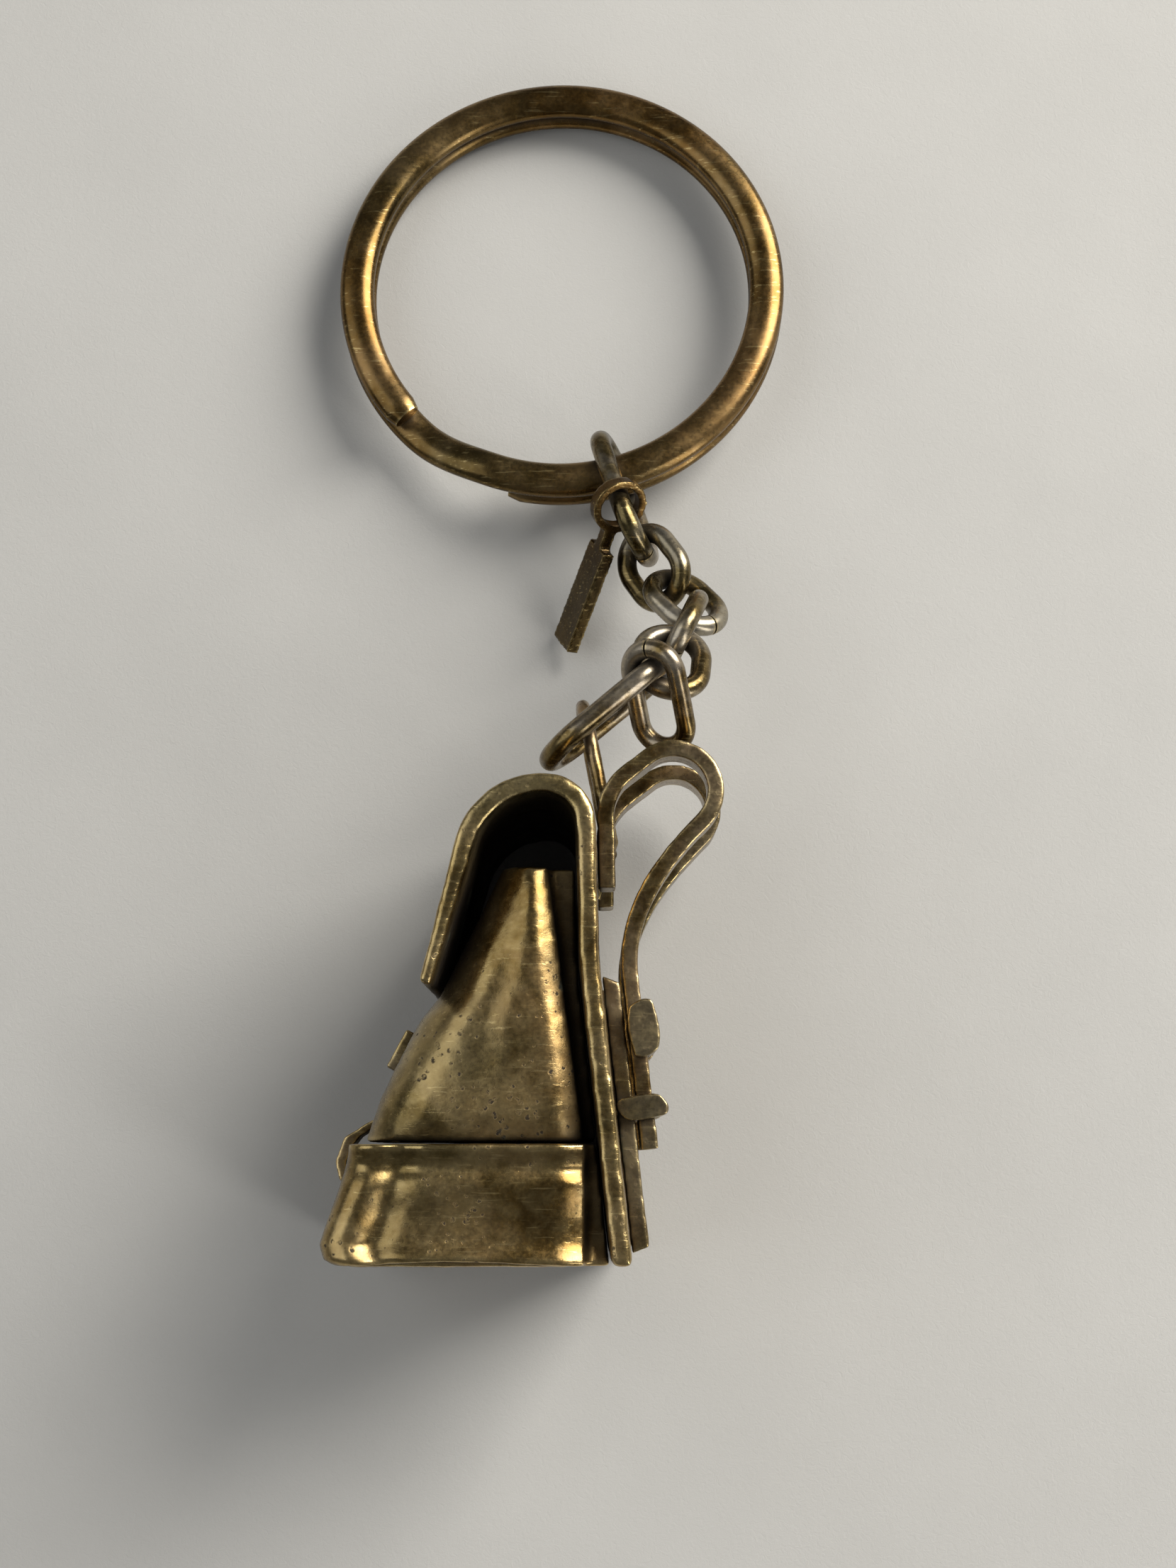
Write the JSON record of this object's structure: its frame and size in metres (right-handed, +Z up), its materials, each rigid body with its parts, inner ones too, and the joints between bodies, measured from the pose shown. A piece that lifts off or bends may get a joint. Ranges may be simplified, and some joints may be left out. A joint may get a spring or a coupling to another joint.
{
  "type": "keychain",
  "caption": "Split ring with a short cable chain that carries a blank tag and a small backpack charm with flap, boot, shoulder straps and buckles.",
  "frame": {"origin": "under the middle of the keychain's outline, on the surface that it lies on", "axes": "+Y from the charm's base towards the split ring, +X out of the charm's back, +Z up from the surface"},
  "size_m": [0.03, 0.0791, 0.022],
  "materials": {
    "ring_brass": "antique brass, polished edges",
    "chain_brass": "antique brass with worn silvery highlights",
    "charm_brass": "antique brass, dark recesses and bright edges",
    "strap_brass": "antique brass, brown patina",
    "tag_brass": "antique brass, dark"
  },
  "bodies": {
    "backpack_charm": {"back_and_flap": "charm_brass", "bag_body": "charm_brass", "boot": "charm_brass", "base_plate": "charm_brass", "haul_loop": "charm_brass", "near_shoulder_strap": "strap_brass", "far_shoulder_strap": "strap_brass", "near_lower_strap": "strap_brass", "far_lower_strap": "strap_brass", "near_buckle": "strap_brass", "far_buckle": "strap_brass", "near_keeper": "strap_brass", "far_keeper": "strap_brass", "closure_strap": "strap_brass", "closure_buckle": "strap_brass"},
    "bag_link": {"bag_link": "chain_brass"},
    "chain_link_4": {"chain_link_4": "chain_brass"},
    "chain_link_3": {"chain_link_3": "chain_brass"},
    "chain_link_2": {"chain_link_2": "chain_brass"},
    "chain_link_1": {"chain_link_1": "chain_brass"},
    "ring_link": {"ring_link": "chain_brass"},
    "split_ring": {"split_ring": "ring_brass"},
    "blank_tag": {"blank_tag": "tag_brass"},
    "spare_link": {"spare_link": "chain_brass"}
  },
  "joints": [
    {"name": "bag_link_swing", "type": "hinge", "parent": "backpack_charm", "child": "bag_link", "pos_m": [0.00176, -0.00737, 0.014], "axis": [-0.1908, 0.9816, 0], "range_deg": [-16, 4]},
    {"name": "chain_link_4_swing", "type": "hinge", "parent": "bag_link", "child": "chain_link_4", "pos_m": [0.00643, -0.00345, 0.01207], "axis": [0.2418, 0.2029, 0.9489], "range_deg": [-18, 44]},
    {"name": "chain_link_3_swing", "type": "hinge", "parent": "chain_link_4", "child": "chain_link_3", "pos_m": [0.00756, -0.00102, 0.01027], "axis": [0.9422, -0.3344, 0.0196], "range_deg": [-44, 44]},
    {"name": "chain_link_2_swing", "type": "hinge", "parent": "chain_link_3", "child": "chain_link_2", "pos_m": [0.00846, 0.00115, 0.00766], "axis": [0.3538, 0.6243, 0.6965], "range_deg": [-44, 44]},
    {"name": "chain_link_1_swing", "type": "hinge", "parent": "chain_link_2", "child": "chain_link_1", "pos_m": [0.00662, 0.00368, 0.00621], "axis": [-0.7622, -0.2951, 0.5762], "range_deg": [-44, 44]},
    {"name": "ring_link_swing", "type": "hinge", "parent": "chain_link_1", "child": "ring_link", "pos_m": [0.00508, 0.00672, 0.0055], "axis": [0.6724, 0.3484, 0.653], "range_deg": [-2, 5]},
    {"name": "split_ring_swing", "type": "hinge", "parent": "ring_link", "child": "split_ring", "pos_m": [0.00368, 0.0113, 0.00372], "axis": [-0.9636, -0.2672, 0], "range_deg": [-44, 44]},
    {"name": "blank_tag_swing", "type": "hinge", "parent": "ring_link", "child": "blank_tag", "pos_m": [0.00391, 0.00839, 0.00751], "axis": [-0.257, 0.8817, -0.3956], "range_deg": [-9, 44]},
    {"name": "spare_link_swing", "type": "hinge", "parent": "bag_link", "child": "spare_link", "pos_m": [0.00563, -0.00413, 0.01492], "axis": [-0.6566, -0.551, 0.515], "range_deg": [-27, 44]}
  ]
}
